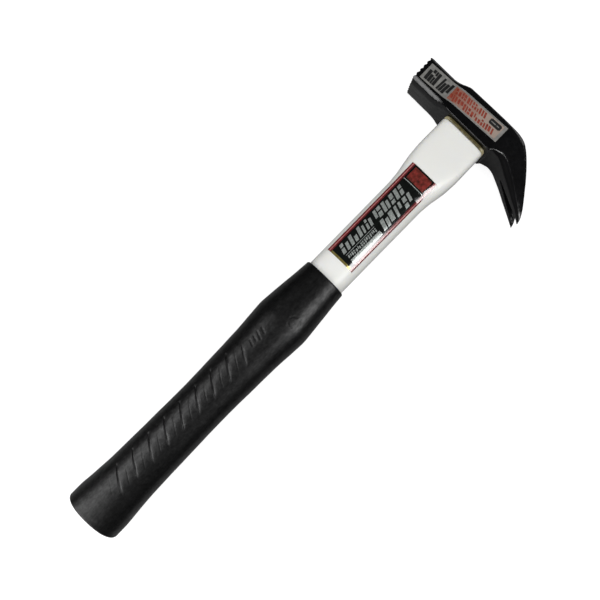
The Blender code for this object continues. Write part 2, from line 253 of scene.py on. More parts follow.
class Nodes:
    """A short way to build a node material."""

    def __init__(self, name):
        self.material = bpy.data.materials.new(name)
        self.material.use_nodes = True
        self.tree = self.material.node_tree
        self.shader = self.tree.nodes["Principled BSDF"]
        self.place = self.tree.nodes.new("ShaderNodeTexCoord").outputs["Object"]

    def set(self, **values):
        for name, value in values.items():
            self.shader.inputs[name.replace("_", " ")].default_value = value

    def link(self, source, target):
        self.tree.links.new(source, target)

    def stretched(self, scale):
        """Object coordinates multiplied by a scale for each axis."""
        node = self.tree.nodes.new("ShaderNodeMapping")
        node.inputs["Scale"].default_value = scale
        self.link(self.place, node.inputs["Vector"])
        return node.outputs["Vector"]

    def noise(self, size_mm, detail=3.0, rough=0.5, place=None):
        """A noise whose features are about size_mm across."""
        node = self.tree.nodes.new("ShaderNodeTexNoise")
        node.inputs["Scale"].default_value = 1.0 / (size_mm * MM)
        node.inputs["Detail"].default_value = detail
        node.inputs["Roughness"].default_value = rough
        self.link(place or self.place, node.inputs["Vector"])
        return node.outputs["Fac"]

    def ramp(self, value, stops):
        """Colours or greys at positions along a value."""
        node = self.tree.nodes.new("ShaderNodeValToRGB")
        band = node.color_ramp
        while len(band.elements) < len(stops):
            band.elements.new(0.5)
        for element, (position, colour) in zip(band.elements, stops):
            element.position = position
            rgb = colour if isinstance(colour, tuple) else (colour,) * 3
            element.color = (*rgb, 1.0)
        self.link(value, node.inputs["Fac"])
        return node.outputs["Color"]

    def math(self, kind, a, b):
        """A Math node on two values, each a socket or a number."""
        node = self.tree.nodes.new("ShaderNodeMath")
        node.operation = kind
        for socket, value in zip(node.inputs, (a, b)):
            if hasattr(value, "is_linked"):
                self.link(value, socket)
            else:
                socket.default_value = value
        return node.outputs[0]

    def mix(self, amount, a, b):
        """Mix two colours, each a socket or a tuple."""
        node = self.tree.nodes.new("ShaderNodeMix")
        node.data_type = "RGBA"
        self.link(amount, node.inputs["Factor"])
        for socket, value in ((node.inputs[6], a), (node.inputs[7], b)):
            if hasattr(value, "is_linked"):
                self.link(value, socket)
            else:
                socket.default_value = (*value, 1.0)
        return node.outputs[2]

    def attribute(self, name):
        """A number stored on the mesh's points."""
        node = self.tree.nodes.new("ShaderNodeAttribute")
        node.attribute_name = name
        return node.outputs["Fac"]

    def bump(self, layers):
        """Stack bumps: each layer is a height socket and its depth in millimetres."""
        normal = None
        for height, depth_mm in layers:
            node = self.tree.nodes.new("ShaderNodeBump")
            node.inputs["Strength"].default_value = 1.0
            node.inputs["Distance"].default_value = depth_mm * MM
            self.link(height, node.inputs["Height"])
            if normal is not None:
                self.link(normal, node.inputs["Normal"])
            normal = node.outputs["Normal"]
        self.link(normal, self.shader.inputs["Normal"])


def paint_look():
    """Satin black paint over forged steel, rubbed off where the wear attribute is high.

    The dull attribute roughens it, and the edge attribute takes gloss away.
    """
    n = Nodes("black_paint")
    n.set(IOR=1.5)
    worn = n.math("ADD", n.attribute("wear"), n.math("MULTIPLY", n.noise(0.9, 4.0), 0.5))
    bare = n.ramp(worn, ((0.80, 0.0), (0.90, 1.0)))
    blacks = ((0.3, (0.0018, 0.0018, 0.002)), (0.7, (0.0035, 0.0035, 0.004)))
    paint = n.ramp(n.noise(5.0, 4.0), blacks)
    n.link(n.mix(bare, paint, (0.45, 0.44, 0.43)), n.shader.inputs["Base Color"])
    n.link(bare, n.shader.inputs["Metallic"])
    gloss = n.ramp(n.noise(1.6, 5.0), ((0.3, 0.16), (0.7, 0.22)))
    rough = n.math("ADD", gloss, n.math("MULTIPLY", n.attribute("dull"), 0.4))
    n.link(rough, n.shader.inputs["Roughness"])
    shine = n.math("SUBTRACT", 0.5, n.math("MULTIPLY", n.attribute("edge"), 0.42))
    n.link(shine, n.shader.inputs["Specular IOR Level"])
    n.bump(((n.noise(0.35, 3.0), 0.008), (n.noise(3.5, 2.0), 0.035)))
    return n.material


def rubber_look():
    """Matte black rubber with a fine moulded grain."""
    n = Nodes("grip_rubber")
    n.set(IOR=1.46)
    blacks = ((0.3, (0.0012, 0.0012, 0.0013)), (0.7, (0.0024, 0.0024, 0.0025)))
    n.link(n.ramp(n.noise(9.0, 4.0), blacks), n.shader.inputs["Base Color"])
    n.link(n.ramp(n.noise(2.5, 5.0), ((0.3, 0.33), (0.7, 0.40))), n.shader.inputs["Roughness"])
    streaks = n.noise(1.3, 3.0, 0.6, n.stretched((0.45, 1.0, 1.0)))
    mottle = n.math("MULTIPLY", n.math("ADD", streaks, n.noise(3.2, 5.0, 0.7)), 0.5)
    n.link(n.ramp(mottle, ((0.38, 0.34), (0.62, 0.62))), n.shader.inputs["Specular IOR Level"])
    n.bump(((n.noise(0.18, 2.0), 0.012), (streaks, 0.05), (n.noise(4.5, 2.0), 0.09)))
    return n.material


def cover_look():
    """Warm white moulded plastic with a satin skin."""
    n = Nodes("cover_plastic")
    n.set(IOR=1.49, Subsurface_Weight=0.15, Subsurface_Scale=0.002)
    n.shader.inputs["Subsurface Radius"].default_value = (1.0, 0.9, 0.7)
    colour = n.ramp(n.noise(14.0, 3.0), ((0.3, (0.925, 0.93, 0.885)), (0.7, (0.94, 0.94, 0.905))))
    n.link(colour, n.shader.inputs["Base Color"])
    n.link(n.ramp(n.noise(3.0, 4.0), ((0.3, 0.30), (0.7, 0.38))), n.shader.inputs["Roughness"])
    n.bump(((n.noise(0.5, 3.0), 0.006), (n.noise(8.0, 2.0), 0.03)))
    return n.material


def resin_look():
    """Cast amber resin, cloudy with fine bubbles. The pale attribute mixes a dark olive into a
    pale amber: at random on the potting, and as painted shade across the bead's middle under the
    head.
    """
    n = Nodes("amber_resin")
    n.set(IOR=1.55, Subsurface_Weight=0.2, Subsurface_Scale=0.001)
    n.shader.inputs["Subsurface Radius"].default_value = (1.0, 0.7, 0.3)
    # dark olive: the amber resin as it looks in shade, a painted shade where it covers the bead
    dark = n.ramp(n.noise(2.2, 4.0), ((0.3, (0.075, 0.062, 0.022)), (0.7, (0.16, 0.135, 0.06))))
    pale = n.ramp(n.noise(1.5, 4.0), ((0.3, (0.42, 0.37, 0.20)), (0.7, (0.60, 0.55, 0.36))))
    n.link(n.mix(n.attribute("pale"), dark, pale), n.shader.inputs["Base Color"])
    n.link(n.ramp(n.noise(0.9, 3.0), ((0.3, 0.20), (0.7, 0.34))), n.shader.inputs["Roughness"])
    n.bump(((n.noise(0.8, 3.0), 0.04),))
    return n.material


def fibre_look():
    """Glass fibres in resin, drawn out along the bar."""
    n = Nodes("glass_fibre")
    n.set(IOR=1.52)
    along = n.stretched((0.02, 1.0, 1.0))
    strands = n.noise(0.45, 4.0, 0.6, along)
    colour = n.ramp(strands, ((0.35, (0.34, 0.27, 0.12)), (0.6, (0.62, 0.55, 0.33)),
                              (0.75, (0.80, 0.76, 0.60))))
    n.link(colour, n.shader.inputs["Base Color"])
    n.link(n.ramp(strands, ((0.3, 0.35), (0.7, 0.55))), n.shader.inputs["Roughness"])
    n.bump(((strands, 0.05),))
    return n.material


def foil_look(name, dark, light, roughness, metallic, crease=0.008, ior=1.5, grain=1.8):
    """A printed film or foil in one colour with slight unevenness."""
    n = Nodes(name)
    n.set(Metallic=metallic, IOR=ior)
    n.link(n.ramp(n.noise(grain, 5.0), ((0.3, dark), (0.7, light))), n.shader.inputs["Base Color"])
    span = ((0.3, roughness - 0.04), (0.7, roughness + 0.05))
    n.link(n.ramp(n.noise(1.1, 4.0), span), n.shader.inputs["Roughness"])
    n.bump(((n.noise(2.4, 3.0), crease),))
    return n.material


def fade_look(name, near, far, roughness):
    """Print that fades from one colour at the face end of the head label to another."""
    n = Nodes(name)
    n.set(Roughness=roughness)
    split = n.tree.nodes.new("ShaderNodeSeparateXYZ")
    n.link(n.place, split.inputs[0])
    first_y, span = 0.0216, 0.030             # metres: where the fade starts, and its length
    run = n.math("MULTIPLY", n.math("SUBTRACT", first_y, split.outputs["Y"]), 1 / span)
    uneven = n.math("MULTIPLY", n.math("SUBTRACT", n.noise(2.5, 3.0), 0.5), 0.8)
    fade = n.ramp(n.math("ADD", run, uneven), ((0.0, near), (0.75, far)))
    n.link(fade, n.shader.inputs["Base Color"])
    n.bump(((n.noise(2.4, 3.0), 0.008),))
    return n.material


# ---------------------------------------------------------------- head

def round_outline(points, cuts, shares, steps):
    """Round each corner of a closed outline over a length of, and a share of, its sides."""
    made = []
    for i, here in enumerate(points):
        before, after = points[i - 1], points[(i + 1) % len(points)]
        back, on = before - here, after - here
        start = here + back * min(cuts[i] / np.linalg.norm(back), shares[i])
        end = here + on * min(cuts[i] / np.linalg.norm(on), shares[i])
        for t in np.linspace(0, 1, steps):
            made.append((1 - t) ** 2 * start + 2 * t * (1 - t) * here + t * t * end)
    return made


def section_outline(lower, upper, half, low_edge, high_edge, steps=7):
    """A head section: a rectangle with cut corners, crisp on the poll and softer on the claw."""
    start, reach = np.array(lower), np.array(upper) - np.array(lower)
    length = np.linalg.norm(reach)
    along = reach / length
    corners = (
        (low_edge, -half), (length - high_edge, -half),
        (length, high_edge - half), (length, half - high_edge),
        (length - high_edge, half), (low_edge, half),
        (0.0, half - low_edge), (0.0, low_edge - half),
    )
    claw = float(soft_step(16.0, 24.0, -lower[1]))
    crisp, soft = 0.5 + 1.3 * claw, min(2.6, 0.3 * length)
    cuts = (crisp, crisp, soft, soft, crisp, crisp, soft, soft)
    # the shares at both ends of a side add up to less than 1, or the outline crosses itself
    cheek, end = 0.18 + 0.27 * claw, 0.78 - 0.26 * claw
    shares = (cheek, cheek, end, end, cheek, cheek, end, end)
    outline = round_outline([np.array(c) for c in corners], cuts, shares, steps)
    return [(*(start + along * s), z) for s, z in outline]


def head_path():
    """The section table as columns along the head, keyed by the distance from the face."""
    rows, run, last = [], 0.0, None
    for lower, upper, half, low_edge, high_edge in HEAD_SECTIONS:
        middle = (np.array(lower) + np.array(upper)) / 2
        if last is not None:
            run += float(np.linalg.norm(middle - last))
        last = middle
        rows.append((run, *lower, *upper, half, low_edge, high_edge))
    return rows


def cheek_height(y):
    """Height of the upper cheek over the middle plane, for y from the face to the claw's root."""
    rows = head_path()
    run = np.linspace(0, rows[CHEEK_LAST_ROW][0], 400)
    lower_y = smooth_column(rows, 2, run)
    return np.interp(-np.asarray(y, float), -lower_y, smooth_column(rows, 5, run))


def groove_bars(name, centres, place):
    """V-shaped bars that cut one set of grooves in the striking face."""
    past, reach = 0.6, 16.0                   # how far the bars run past the face and its sides
    rise = TOOTH_DEPTH + past
    points, faces = [], []
    for centre in centres:
        first = len(points)
        for end in (-reach, reach):
            for side, up in ((0, 0), (rise, rise), (-rise, rise)):
                points.append(place(centre + side, FACE_Y - TOOTH_DEPTH + up, end))
        faces += [(first, first + 1, first + 2), (first + 3, first + 4, first + 5)]
        faces += [
            (first + i, first + (i + 1) % 3, first + 3 + (i + 1) % 3, first + 3 + i)
            for i in range(3)
        ]
    return make_object(name, points, faces)


def slot_cutter(name):
    """A wedge through the claw, from the slot's root to past the tips."""
    way = CLAW_TIP - SLOT_ROOT
    down, length = way.normalized(), way.length
    out = Vector((-down.y, down.x))
    far = length + SLOT_PAST
    far_half = SLOT_ROOT_HALF + (SLOT_TIP_HALF - SLOT_ROOT_HALF) * far / length
    outline = (
        (0.0, -SLOT_ROOT_HALF), (far, -far_half), (far, far_half), (0.0, SLOT_ROOT_HALF),
    )
    return skin(name, [
        [(*(SLOT_ROOT + down * s + out * side), z) for s, z in outline]
        for side in (-SLOT_REACH, SLOT_REACH)
    ])


def evaluated_copy(piece, name):
    """A new object with the mesh as its modifiers leave it; the old one is removed."""
    bpy.context.view_layer.update()
    shape = piece.evaluated_get(bpy.context.evaluated_depsgraph_get())
    mesh = bpy.data.meshes.new_from_object(shape)
    made = bpy.data.objects.new(name, mesh)
    bpy.context.collection.objects.link(made)
    bpy.data.objects.remove(piece, do_unlink=True)
    return made


def read_points(mesh):
    """Mesh points as hammer coordinates in millimetres, and their normals."""
    points = np.empty(len(mesh.vertices) * 3, np.float32)
    mesh.vertices.foreach_get("co", points)
    points = points.reshape(-1, 3).astype(float)
    points[:, 2] -= MIDDLE_Z
    normals = np.empty(len(mesh.vertices) * 3, np.float32)
    mesh.vertices.foreach_get("normal", normals)
    return points / MM, normals.reshape(-1, 3).astype(float)


def store(mesh, name, values):
    """Store a number from 0 to 1 on each point."""
    layer = mesh.attributes.new(name, "FLOAT", "POINT")
    layer.data.foreach_set("value", np.clip(values, 0, 1).astype(np.float32))


def write_points(mesh, points):
    """Put hammer coordinates back into a mesh."""
    moved = points * MM
    moved[:, 2] += MIDDLE_Z
    mesh.vertices.foreach_set("co", moved.astype(np.float32).ravel())
    mesh.update()


def make_head(look):
    """The forging: one steel body with milled face, eye and split claw."""
    rows = head_path()
    stops = np.unique(np.concatenate([
        np.arange(0.0, rows[-1][0], 0.8), [row[0] for row in rows],
    ]))
    sections = zip(*(smooth_column(rows, column, stops) for column in range(1, 8)))
    head = skin("head_blank", [section_outline(s[:2], s[2:4], *s[4:]) for s in sections])

    turns = even_turns(*EYE_HOLE_LOW, EYE_POWER, 96)
    eye = skin("cut_eye", [
        oval_ring(EYE_BOTTOM - EYE_CUT_PAST, *EYE_CUT_LOW, EYE_POWER, turns),
        oval_ring(EYE_TOP + EYE_CUT_PAST, *EYE_CUT_HIGH, EYE_POWER, turns),
    ])
    middle = (POLL_TOP + POLL_BOTTOM) / 2
    rows_at = [middle + TOOTH_PITCH * i for i in range(-3, 4)]
    columns_at = [TOOTH_PITCH * i for i in range(-4, 5)]
    cutters = [
        eye,
        slot_cutter("cut_slot"),
        groove_bars("cut_rows", rows_at, lambda s, y, e: (s, y, e)),
        groove_bars("cut_columns", columns_at, lambda s, y, e: (e, y, s)),
    ]
    for cutter in cutters:
        modifier = head.modifiers.new(cutter.name, "BOOLEAN")
        modifier.operation = "DIFFERENCE"
        modifier.solver = "EXACT"
        modifier.object = cutter
    fine = head.modifiers.new("fine", "REMESH")
    fine.mode = "VOXEL"
    fine.voxel_size = HEAD_VOXEL * MM
    smooth = head.modifiers.new("smooth", "SMOOTH")
    smooth.factor = 0.5
    smooth.iterations = 4
    head = evaluated_copy(head, "head_forging")
    for cutter in cutters:
        bpy.data.objects.remove(cutter, do_unlink=True)

    points, normals = read_points(head.data)
    uneven = waves(points, 3, 9.0) * 0.05 + waves(points, 4, 2.6, 2) * 0.018
    points += normals * (uneven - 0.07)[:, None]
    write_points(head.data, points)
    mark_wear(head.data, points, normals)
    finish_piece(head, "root", "head_steel", look, "hammer_head")


def mark_wear(mesh, points, normals):
    """Store where the paint is rubbed off (teeth, prong ends), and the dull inner claw's edges."""
    up = np.abs(normals[:, 2])
    teeth = soft_step(FACE_Y - 0.35, FACE_Y - 0.12, points[:, 1]) * TOOTH_WEAR
    reach = (points[:, :2] - np.array(SLOT_ROOT)) @ CLAW_DOWN
    tips = soft_step(21.0, 26.5, reach) * soft_step(0.45, 0.8, up) * TIP_WEAR
    store(mesh, "wear", teeth + tips)
    inward = normals @ np.array([CLAW_DOWN[1], -CLAW_DOWN[0], 0.0])
    dull = soft_step(13.0, 16.0, -points[:, 1]) * soft_step(0.04, 0.13, inward)
    store(mesh, "dull", dull)
    store(mesh, "edge", dull * soft_step(0.12, 0.3, up) * (1 - soft_step(0.99, 0.998, up)))


# ---------------------------------------------------------------- handle

def edge_inset(d, reach):
    """How far a rounded edge that starts at d = 0 is set in from the full size."""
    rest = np.clip(1 - d / reach, 0.0, 1.0)
    return reach * (1 - np.sqrt(1 - rest**2))


def grip_size(d):
    """Half width and half thickness of the grip at d, with rounded end edges."""
    inset = edge_inset(d, BUTT_ROUND) + edge_inset(GRIP_END - d, RIM_ROUND)
    return smooth_column(GRIP_STATIONS, 1, d) - inset, smooth_column(GRIP_STATIONS, 2, d) - inset


def groove_depth(d, arc):
    """How deep the moulded grooves are at distance d, and at arc round from the middle line."""
    s = (d - GROOVE_LEAN * arc - GROOVE_FIRST) / GROOVE_PITCH % 1.0
    knots = (0.0, 0.035, 0.09, 0.20, 0.49, 0.52, 0.55, 0.955, 1.0)
    depth = (1.0, 0.55, 0.16, 0.0, 0.0, 0.22, 0.0, 0.0, 1.0)
    wave = np.interp(s, knots, depth)
    along = soft_step(GROOVE_ZONE[0], GROOVE_ZONE[0] + 7, d)
    along *= 1 - soft_step(GROOVE_ZONE[1] - 8, GROOVE_ZONE[1] + 1, d)
    start, stop = GROOVE_SIDES
    across = soft_step(*start, arc) * (1 - soft_step(*stop, arc))
    return GROOVE_DEPTH * wave * along * across


def emblem_depth(d, y):
    """A broken ring and a few short bars near the top of the grip, for decoration."""
    depth = np.zeros_like(d)
    for along, across, half in EMBLEM_BARS:
        off = (d - EMBLEM_START - along) - EMBLEM_LEAN * (y - across)
        inside = 1 - soft_step(0.45, 0.75, np.abs(off))
        depth = np.maximum(depth, inside * (1 - soft_step(half, half + 0.4, np.abs(y - across))))
    run, side = d - EMBLEM_RING[0], y - EMBLEM_RING[1]
    ring = 1 - soft_step(0.35, 0.65, np.abs(np.hypot(run, side) - EMBLEM_RADIUS))
    ring *= soft_step(0.35, 0.6, np.abs(np.sin(1.5 * np.arctan2(side, run) + 0.4)))
    return EMBLEM_DEPTH * np.maximum(depth, ring)


def make_grip(look):
    """The rubber sleeve with its slanted grooves, closed at the butt."""
    turn_count = 240
    ends = BUTT_ROUND * (1 - np.cos(np.radians(np.arange(0, 90, 9))))
    rim = GRIP_END - RIM_ROUND * (1 - np.sin(np.radians(np.arange(0, 91, 15))))
    stops = np.concatenate([
        ends, np.arange(BUTT_ROUND, GROOVE_ZONE[0], 0.5), np.arange(*GROOVE_ZONE, 0.25),
        np.arange(GROOVE_ZONE[1], GRIP_END - RIM_ROUND, 0.4), rim,
    ])
    turns = even_turns(*GRIP_TYPICAL, GRIP_POWER, turn_count)
    half_y, half_z = grip_size(stops)
    d, turn = np.meshgrid(stops, turns, indexing="ij")
    y, z = oval(half_y[:, None], half_z[:, None], GRIP_POWER, turn)
    y_mid, z_mid = oval(*GRIP_TYPICAL, GRIP_POWER, turns)
    step = np.hypot(np.diff(y_mid, append=y_mid[0]), np.diff(z_mid, append=z_mid[0]))
    run = np.concatenate([[0], np.cumsum(step)])[:-1]
    quarter, whole = np.interp(math.pi / 2, turns, run), step.sum()
    arc = quarter - run                       # from the upper middle line, towards +y
    arc = np.where(z_mid < 0, run - (whole - quarter), arc)
    depth = groove_depth(d, np.broadcast_to(arc, d.shape))
    depth += np.where(z > 0, emblem_depth(d, y), 0.0)
    points = np.stack([d, y, z], -1).reshape(-1, 3)
    depth += (waves(points, 8, 14.0) * 0.05 + 0.06).reshape(d.shape)
    shrink = 1 - depth / np.hypot(y, z)
    outer = np.stack([d + BUTT, y * shrink, z * shrink], -1)

    deep = [GRIP_END - 0.4, GRIP_END - 6, COVER_START - 0.3]
    inner = [oval_ring(BUTT + d, *GRIP_BORE, NECK_POWER, turns) for d in deep]
    lip = oval_ring(BUTT + GRIP_END, GRIP_BORE[0] + 0.3, GRIP_BORE[1] + 0.3, NECK_POWER, turns)
    grip = skin("grip_sleeve", list(outer) + [lip] + inner)
    finish_piece(grip, "root", "grip_rubber", look, "rubber_grip", sharp=50)


def cover_size(d):
    """Half width, half thickness and squareness of the cover at d."""
    return tuple(smooth_column(COVER_STATIONS, column, d) for column in (1, 2, 3))


def make_cover(look):
    """The white sleeve with its flare, and a faint mould line along each edge."""
    count = 200
    stops = np.concatenate([
        [COVER_START, 60.0, 120.0, 180.0], np.arange(190.0, COVER_END - COVER_ROUND, 0.8),
        COVER_END - COVER_ROUND * (1 - np.sin(np.radians(np.arange(0, 91, 18)))),
    ])
    rings = []
    for d, half_y, half_z, power in zip(stops, *cover_size(stops)):
        end = max(0.0, d - COVER_END + COVER_ROUND)
        inset = COVER_ROUND - math.sqrt(max(COVER_ROUND**2 - end**2, 0.0))
        turns = even_turns(half_y, half_z, power, count)
        ring = oval_ring(d + BUTT, half_y - inset, half_z - inset, power, turns)
        seam = 1 - soft_step(0.25, 0.5, np.abs(ring[:, 2]))
        ring[:, 1] -= np.sign(ring[:, 1]) * 0.09 * (1 - seam)
        ring[:, 2] *= 1 - 0.03 / half_z
        rings.append(ring)
    bore = (CORE[0] + 0.3, CORE[1] + 0.3)
    turns = even_turns(*bore, CORE_POWER, count)
    rings += [oval_ring(BUTT + d, *bore, CORE_POWER, turns) for d in (COVER_END, COVER_START)]
    cover = skin("cover_sleeve", rings, tube=True)
    finish_piece(cover, "root", "cover_plastic", look, "plastic_cover", sharp=40)


def make_core(look):
    """The glass-fibre bar with slightly broken edges at its cut ends."""
    turns = even_turns(*CORE, CORE_POWER, 120)
    start, end = COVER_START + BUTT, CORE_TOP
    rings = [oval_ring(start, CORE[0] - 0.4, CORE[1] - 0.4, CORE_POWER, turns)]
    rings += [oval_ring(x, *CORE, CORE_POWER, turns) for x in (start + 0.4, -60.0, end - 0.3)]
    rings += [
        oval_ring(end, (CORE[0] - 0.3) * k, (CORE[1] - 0.3) * k, CORE_POWER, turns)
        for k in (1.0, 0.8, 0.5, 0.2)
    ]
    core = skin("core_bar", rings)
    finish_piece(core, "root", "core_fibre", look, "glass_fibre_core", sharp=30)


def make_resin(look):
    """The potting in the eye, sunk a little between core and steel, and the bead below."""
    turns = even_turns(*EYE_HOLE_LOW, EYE_POWER, 144)
    bore = (CORE[0] + 0.25, CORE[1] + 0.25)
    low = EYE_BOTTOM + 0.2
    rings = [oval_ring(low, EYE_HOLE_LOW[0] - 0.25, EYE_HOLE_LOW[1] - 0.25, EYE_POWER, turns)]
    for t in np.linspace(0.0, 1.0, 9):
        sink = 0.75 + 0.55 * math.sin(math.pi * t)
        outer = oval_ring(0, EYE_HOLE_HIGH[0] - 0.3, EYE_HOLE_HIGH[1] - 0.3, EYE_POWER, turns)
        inner = oval_ring(0, *bore, CORE_POWER, turns)
        ring = outer * (1 - t) + inner * t
        ring[:, 0] = EYE_TOP - sink - 0.12 * waves(ring, 12, 5.0)
        rings.append(ring)
    rings.append(oval_ring(low, *bore, CORE_POWER, turns))
    potting = skin("eye_potting", rings, tube=True)
    store(potting.data, "pale", 0.35 + 0.2 * waves(read_points(potting.data)[0], 31, 6.0))
    finish_piece(potting, "root", "eye_resin", look, "eye_resin", sharp=50)

    turns = even_turns(15.0, 10.0, COLLAR_POWER, 200)
    start, end = COVER_END + BUTT + 0.1, EYE_BOTTOM - 0.1
    rings = []
    for t in np.linspace(0.0, 1.0, 11):
        x = start + (end - start) * t
        swell = 0.42 * math.sin(math.pi * t) ** 0.7
        ring = oval_ring(x, COLLAR[0] + swell, COLLAR[1] + swell, COLLAR_POWER, turns)
        ring[:, 1:] *= (1 + 0.008 * waves(ring, 21, 7.0))[:, None]
        rings.append(ring)
    turns = even_turns(*bore, CORE_POWER, 200)
    rings += [oval_ring(x, *bore, CORE_POWER, turns) for x in (end, start)]
    bead = skin("resin_bead", rings, tube=True)
    # painted shade: the bead is dark olive across its middle, under the head, and turns pale amber
    # towards both ends
    store(bead.data, "pale", soft_step(11.0, 15.0, np.abs(read_points(bead.data)[0][:, 1])))
    finish_piece(bead, "root", "collar_resin", look, "resin_collar", sharp=60)


# ---------------------------------------------------------------- labels

def on_cheek(u, v, lift):
    """Label coordinates on the upper cheek: u from the face end, v towards the head's top."""
    label = HEAD_LABEL
    y = label["first"] - u
    x = label["low_x"] + (label["high_x"] - label["low_x"]) * u / label["length"] + v
    return np.stack([x, y, cheek_height(y) + LABEL_LIFT + lift], -1)


def on_handle(u, v, lift):
    """Label coordinates on the cover: u is the distance from the butt, v is y."""
    half_y, half_z, power = cover_size(u)
    side = np.abs(v / half_y)
    z = half_z * (1 - side**power) ** (1 / power)
    ny = np.sign(v) * side ** (power - 1) / half_y
    nz = (z / half_z) ** (power - 1) / half_z
    size = np.hypot(ny, nz)
    off = LABEL_LIFT + lift
    return np.stack([u + BUTT, v + off * ny / size, z + off * nz / size], -1)


def plates(name, outlines, surface, low, high, fine=0.7):
    """Thin plates of print on a surface. An outline is four corners (u, v) in order."""
    points, faces = [], []
    for corners in outlines:
        a, b, c, d = (np.array(p, float) for p in corners)
        columns = max(1, int(math.ceil(np.linalg.norm(b - a) / fine)))
        rows = max(1, int(math.ceil(np.linalg.norm(d - a) / fine)))
        s, t = np.meshgrid(np.linspace(0, 1, columns + 1), np.linspace(0, 1, rows + 1))
        s, t = s[..., None], t[..., None]
        flat = (a * (1 - s) + b * s) * (1 - t) + (d * (1 - s) + c * s) * t
        first, size, wide = len(points), (rows + 1) * (columns + 1), columns + 1
        for lift in (low, high):
            points += list(surface(flat[..., 0], flat[..., 1], lift).reshape(-1, 3))
        for i in range(rows):
            for j in range(columns):
                k = first + i * wide + j
                quad = (k, k + 1, k + 1 + wide, k + wide)
                faces.append(quad[::-1])
                faces.append(tuple(q + size for q in quad))
        edge = list(range(wide))
        edge += [i * wide + columns for i in range(1, rows + 1)]
        edge += [rows * wide + j for j in range(columns - 1, -1, -1)]
        edge += [i * wide for i in range(rows - 1, 0, -1)]
        for p, q in zip(edge, edge[1:] + edge[:1]):
            faces.append((first + p, first + q, first + q + size, first + p + size))
    return make_object(name, points, faces)


def box(u0, u1, v0, v1, lean=0.0):
    """An upright or leaning rectangle; lean shifts the v1 side along u."""
    return ((u0, v0), (u1, v0), (u1 + lean, v1), (u0 + lean, v1))


def bars(span, sides, wide, gap, lean, seed):
    """Leaning bars of uneven width and height that fill a strip: a plain made-up pattern."""
    random = np.random.default_rng(seed)
    (u, end), (low, high) = span, sides
    made, tall = [], high - low
    while u + wide * 0.7 <= end:
        width = min(wide * random.uniform(0.65, 1.35), end - u)
        start, stop = 0.0, 1.0
        kind = random.integers(4)
        if kind == 0:
            start = random.uniform(0.1, 0.45)
        elif kind == 1:
            stop = random.uniform(0.55, 0.9)
        pieces = [(start, stop)]
        if kind == 2:
            split = random.uniform(0.35, 0.6)
            pieces = [(0.0, split), (split + 0.14, 1.0)]
        for p, q in pieces:
            left = u + lean * p
            made.append(box(left, left + width, low + p * tall, low + q * tall, lean * (q - p)))
        u += width + gap * random.uniform(0.7, 1.4)
    return made


def print_piece(name, outlines, surface, level, slot, look):
    """One colour of print as a thin piece at a level above the label."""
    low = LABEL_THICK + PRINT_STEP * level
    piece = plates(name, outlines, surface, low, low + PRINT_THICK)
    finish_piece(piece, "root", slot, look, sharp=30)


def make_head_label():
    """Silver foil on the cheek: two groups of black bars, rows on salmon and a dark pill."""
    label = HEAD_LABEL
    half, length = label["half"], label["length"]
    silver = foil_look("label_silver", (0.24, 0.237, 0.225), (0.36, 0.352, 0.335), 0.42, 0.35)
    base = plates("head_plate", [box(0, length, -half, half)], on_cheek, 0.0, LABEL_THICK, 0.6)
    finish_piece(base, "root", "head_foil", silver, "head_label", sharp=30)

    black = foil_look("label_black", (0.006, 0.006, 0.006), (0.014, 0.014, 0.014), 0.40, 0.0)
    marks = bars((1.8, 9.4), (-4.1, 3.8), 1.7, 0.24, -0.5, 21)
    marks += bars((10.7, 18.3), (-4.1, 3.8), 1.5, 0.24, 0.5, 24)
    print_piece("head_print_black", marks, on_cheek, 0, "head_foil", black)

    salmon = fade_look("label_salmon", (0.27, 0.075, 0.045), (0.36, 0.28, 0.235), 0.45)
    field = [box(19.4, 54.8, -4.4, 4.3)]
    print_piece("head_print_salmon", field, on_cheek, 0, "head_foil", salmon)
    red = foil_look("label_red", (0.15, 0.018, 0.011), (0.34, 0.060, 0.034), 0.45, 0.0, grain=1.0)
    rows = bars((20.6, 53.4), (-3.9, -0.5), 1.25, 0.6, -1.1, 5)
    rows += bars((21.4, 44.6), (0.5, 3.8), 1.2, 0.65, -1.1, 6)
    print_piece("head_print_red", rows, on_cheek, 1, "head_foil", red)
    pill = [box(46.3, 53.5, 0.4, 3.8), box(45.8, 46.3, 0.9, 3.3), box(53.5, 54.0, 0.9, 3.3)]
    print_piece("head_print_pill", pill, on_cheek, 1, "head_foil", black)
    bits = [box(47.0, 50.2, 1.85, 2.35, -0.2), box(50.9, 52.6, 1.85, 2.35, -0.2)]
    print_piece("head_print_silver", bits, on_cheek, 2, "head_foil", silver)


